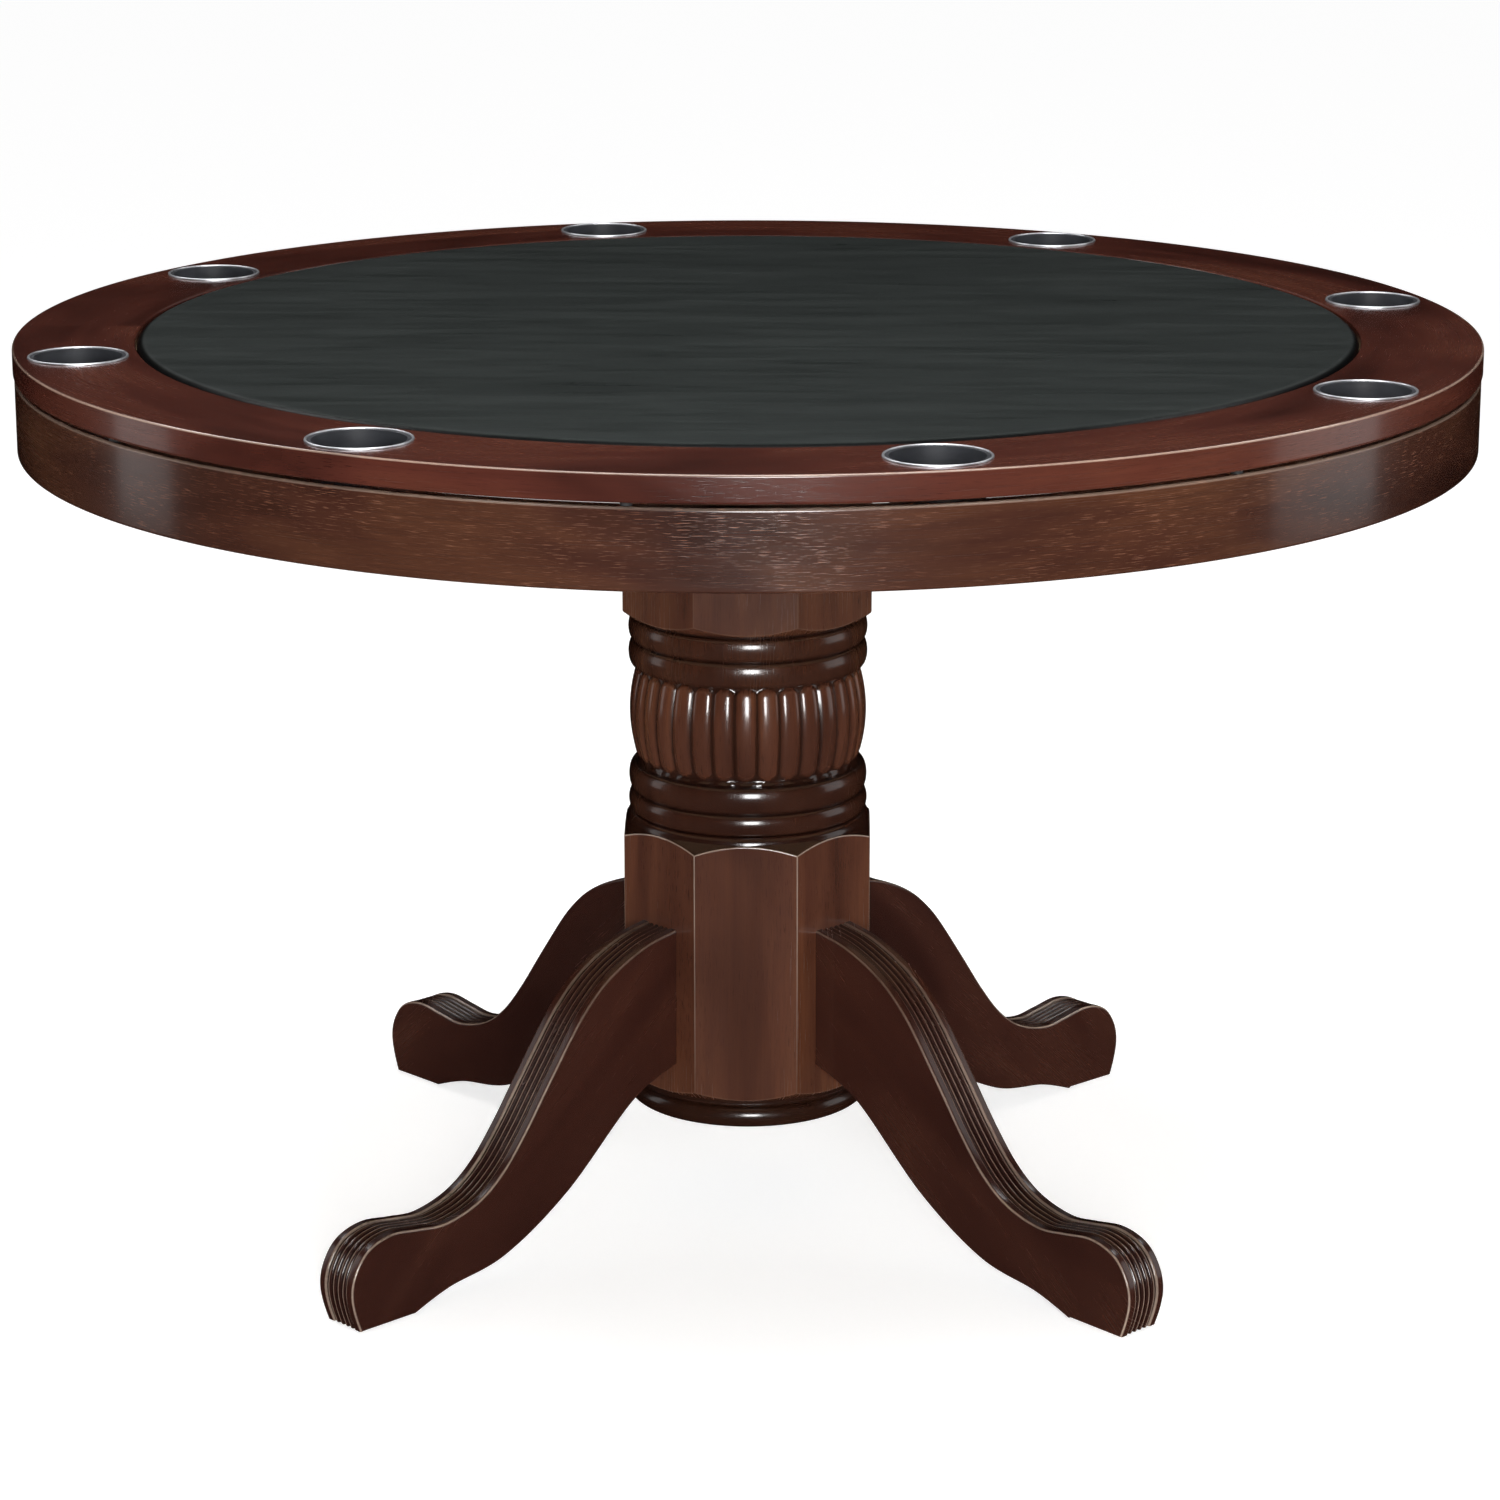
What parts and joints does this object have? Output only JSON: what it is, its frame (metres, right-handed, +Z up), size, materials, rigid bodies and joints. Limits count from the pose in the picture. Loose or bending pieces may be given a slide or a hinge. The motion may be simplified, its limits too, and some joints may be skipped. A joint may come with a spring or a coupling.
{
  "type": "round gaming table",
  "caption": "Round pedestal gaming table with a lift-off wooden playing top, inset vinyl pad, drop-in cup holders, drum apron, turned octagonal post and sweeping reeded legs.",
  "frame": {"origin": "on the floor under the centre of the post", "axes": "+Z up; +X to the right and -Y towards the viewer who faces a flat of the post; the legs lie on the diagonals"},
  "size_m": [1.219, 1.2192, 0.7698],
  "materials": {
    "apron_wood": "dark reddish brown stain, satin lacquer",
    "rim_wood": "dark reddish brown stain, satin lacquer",
    "pedestal_wood": "dark reddish brown stain, satin lacquer",
    "leg_wood": "dark reddish brown stain, satin lacquer",
    "frame_timber": "bare sawn timber",
    "plywood": "bare board",
    "zinc_steel": "zinc plated",
    "bumper_rubber": "matt",
    "glide_nylon": "smooth",
    "vinyl": "grained black vinyl, soft sheen",
    "foam": "open-cell foam",
    "cup_black": "matt black",
    "ring_metal": "bright rolled ring"
  },
  "bodies": {
    "base": {"apron_hoop": "apron_wood", "cross_rail_x": "frame_timber", "cross_rail_y": "frame_timber", "corner_blocks": "frame_timber", "block_screws": "zinc_steel", "mounting_plate": "plywood", "plate_bolts": "zinc_steel", "plate_washers": "zinc_steel", "rail_screws": "zinc_steel", "bumper_pads": "bumper_rubber", "pedestal_post": "pedestal_wood", "base_cap": "pedestal_wood", "cap_screws": "zinc_steel", "leg_front_left": "leg_wood", "leg_front_right": "leg_wood", "leg_rear_left": "leg_wood", "leg_rear_right": "leg_wood", "leg_hanger_bolts": "zinc_steel", "leg_washers": "zinc_steel", "leg_nuts": "zinc_steel", "leg_dowels": "frame_timber", "foot_glides": "glide_nylon"},
    "game_top": {"top_rim": "rim_wood", "centre_panel": "plywood", "pad_board": "plywood", "foam_pad": "foam", "vinyl_cover": "vinyl", "pad_screws": "zinc_steel"},
    "cup_1": {"cup_insert_1": "cup_black", "cup_trim_ring_1": "ring_metal"},
    "cup_2": {"cup_insert_2": "cup_black", "cup_trim_ring_2": "ring_metal"},
    "cup_3": {"cup_insert_3": "cup_black", "cup_trim_ring_3": "ring_metal"},
    "cup_4": {"cup_insert_4": "cup_black", "cup_trim_ring_4": "ring_metal"},
    "cup_5": {"cup_insert_5": "cup_black", "cup_trim_ring_5": "ring_metal"},
    "cup_6": {"cup_insert_6": "cup_black", "cup_trim_ring_6": "ring_metal"},
    "cup_7": {"cup_insert_7": "cup_black", "cup_trim_ring_7": "ring_metal"},
    "cup_8": {"cup_insert_8": "cup_black", "cup_trim_ring_8": "ring_metal"}
  },
  "joints": [
    {"name": "top_lift", "type": "slide", "parent": "base", "child": "game_top", "axis": [0, 0, 1], "range_m": [0, 0.25]},
    {"name": "cup_lift_1", "type": "slide", "parent": "game_top", "child": "cup_1", "axis": [0, 0, 1], "range_m": [0, 0.1]},
    {"name": "cup_lift_2", "type": "slide", "parent": "game_top", "child": "cup_2", "axis": [0, 0, 1], "range_m": [0, 0.1]},
    {"name": "cup_lift_3", "type": "slide", "parent": "game_top", "child": "cup_3", "axis": [0, 0, 1], "range_m": [0, 0.1]},
    {"name": "cup_lift_4", "type": "slide", "parent": "game_top", "child": "cup_4", "axis": [0, 0, 1], "range_m": [0, 0.1]},
    {"name": "cup_lift_5", "type": "slide", "parent": "game_top", "child": "cup_5", "axis": [0, 0, 1], "range_m": [0, 0.1]},
    {"name": "cup_lift_6", "type": "slide", "parent": "game_top", "child": "cup_6", "axis": [0, 0, 1], "range_m": [0, 0.1]},
    {"name": "cup_lift_7", "type": "slide", "parent": "game_top", "child": "cup_7", "axis": [0, 0, 1], "range_m": [0, 0.1]},
    {"name": "cup_lift_8", "type": "slide", "parent": "game_top", "child": "cup_8", "axis": [0, 0, 1], "range_m": [0, 0.1]}
  ]
}
